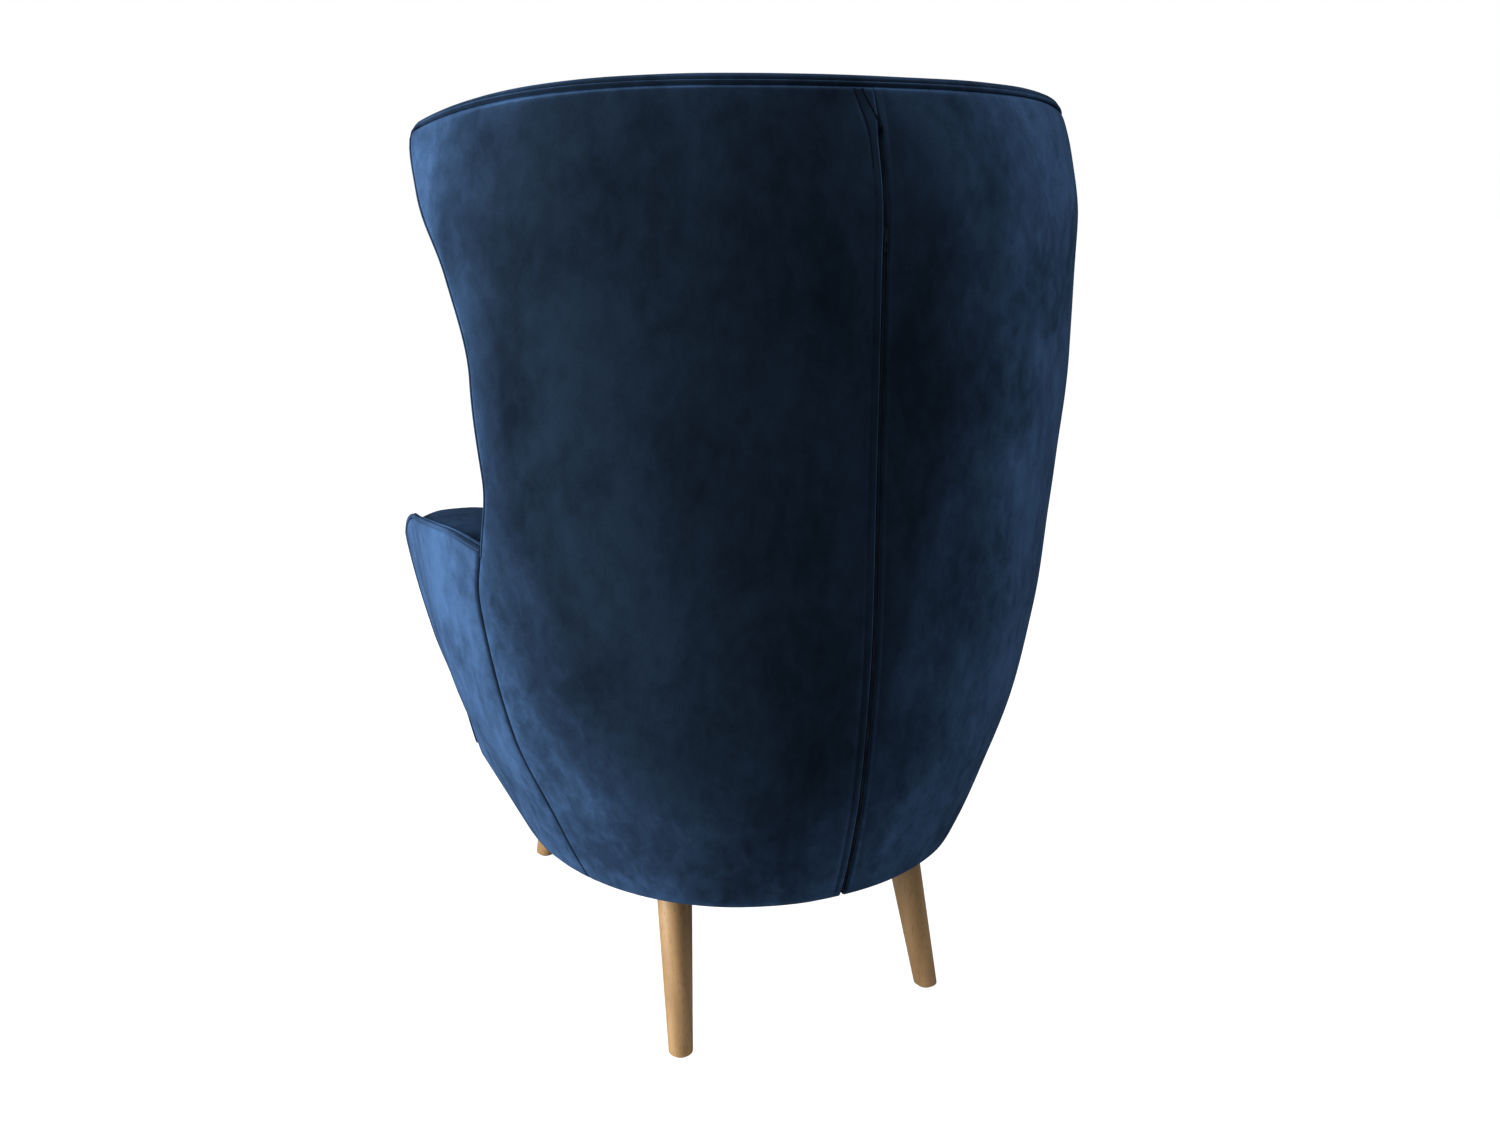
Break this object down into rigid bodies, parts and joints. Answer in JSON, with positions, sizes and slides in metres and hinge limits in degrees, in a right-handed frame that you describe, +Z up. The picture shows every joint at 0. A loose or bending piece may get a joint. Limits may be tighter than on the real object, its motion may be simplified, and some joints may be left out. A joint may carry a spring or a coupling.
{
  "type": "recliner armchair",
  "caption": "High-backed wing armchair in navy velvet on splayed oak legs, with a gliding seat, a tilting inner back and a flip-up footrest.",
  "frame": {"origin": "on the floor, at the middle of the box at rest", "axes": "+Z up, +Y towards the back of the chair, +X towards the sitter's left"},
  "size_m": [0.786, 0.7379, 1.086],
  "materials": {
    "velvet": "navy velvet with a soft sheen",
    "welt_velvet": "navy velvet piping",
    "leg_oak": "satin lacquered oak",
    "plywood": "raw plywood",
    "frame_beech": "planed beech",
    "zinc_steel": "zinc plated",
    "black_steel": "black powder coat",
    "glide_plastic": "dark moulded plastic",
    "dust_cloth": "black non-woven cloth",
    "webbing": "dark woven band",
    "lining_felt": "velvet over felt",
    "zip_metal": "dark blue lacquered metal"
  },
  "bodies": {
    "tub": {"base_board": "plywood", "base_cross_rails": "frame_beech", "base_side_rail_left": "frame_beech", "base_side_rail_right": "frame_beech", "leg_rear_left": "leg_oak", "leg_rear_right": "leg_oak", "leg_front_left": "leg_oak", "leg_front_right": "leg_oak", "floor_glides": "glide_plastic", "leg_bolts": "zinc_steel", "leg_plates": "zinc_steel", "dust_cover": "dust_cloth", "slide_fixed_left": "zinc_steel", "slide_fixed_right": "zinc_steel", "gas_cylinder": "black_steel", "gas_bracket": "black_steel", "back_posts": "frame_beech", "wing_posts": "frame_beech", "top_hoop": "frame_beech", "waist_hoop": "frame_beech", "arm_posts": "frame_beech", "arm_rails": "frame_beech", "tub_lining": "lining_felt", "back_cover_left": "velvet", "back_cover_right": "velvet", "arm_cover_left": "velvet", "arm_cover_right": "velvet", "arm_pad_left": "velvet", "arm_pad_right": "velvet", "arm_face_left": "velvet", "arm_face_right": "velvet", "wing_pad_left": "velvet", "wing_pad_right": "velvet", "wing_face_left": "velvet", "wing_face_right": "velvet", "top_roll": "velvet", "top_welt": "welt_velvet", "arm_welts": "welt_velvet", "front_apron": "velvet", "zip_tape": "webbing"},
    "seat": {"seat_side_rails": "frame_beech", "seat_cross_rails": "frame_beech", "seat_front_panel": "frame_beech", "seat_straps": "webbing", "seat_cushion": "velvet", "slide_moving_left": "zinc_steel", "slide_moving_right": "zinc_steel", "gas_rod": "zinc_steel", "tilt_plates": "black_steel", "tilt_pins": "zinc_steel", "foot_plates": "black_steel", "foot_pins": "zinc_steel"},
    "inner_back": {"inner_back_board": "plywood", "tilt_rail": "frame_beech", "back_cushion": "velvet"},
    "footrest": {"footrest_board": "frame_beech", "footrest_pad": "velvet", "foot_arms": "black_steel"},
    "zip_pull": {"zip_slider": "zip_metal"}
  },
  "joints": [
    {"name": "seat_glide", "type": "slide", "parent": "tub", "child": "seat", "axis": [0, -1, 0], "range_m": [0, 0.12]},
    {"name": "back_tilt", "type": "hinge", "parent": "seat", "child": "inner_back", "pos_m": [0, 0.24, 0.4], "axis": [-1, 0, 0], "range_deg": [0, 11.47]},
    {"name": "footrest_flip", "type": "hinge", "parent": "seat", "child": "footrest", "pos_m": [0, -0.335, 0.385], "axis": [-1, 0, 0], "range_deg": [0, 90]},
    {"name": "zip_travel", "type": "slide", "parent": "tub", "child": "zip_pull", "axis": [0, 0, -1], "range_m": [0, 0.36]}
  ],
  "couplings": [
    {"joint": "back_tilt", "follows": "seat_glide", "rad_per_m": 1.6667}
  ]
}
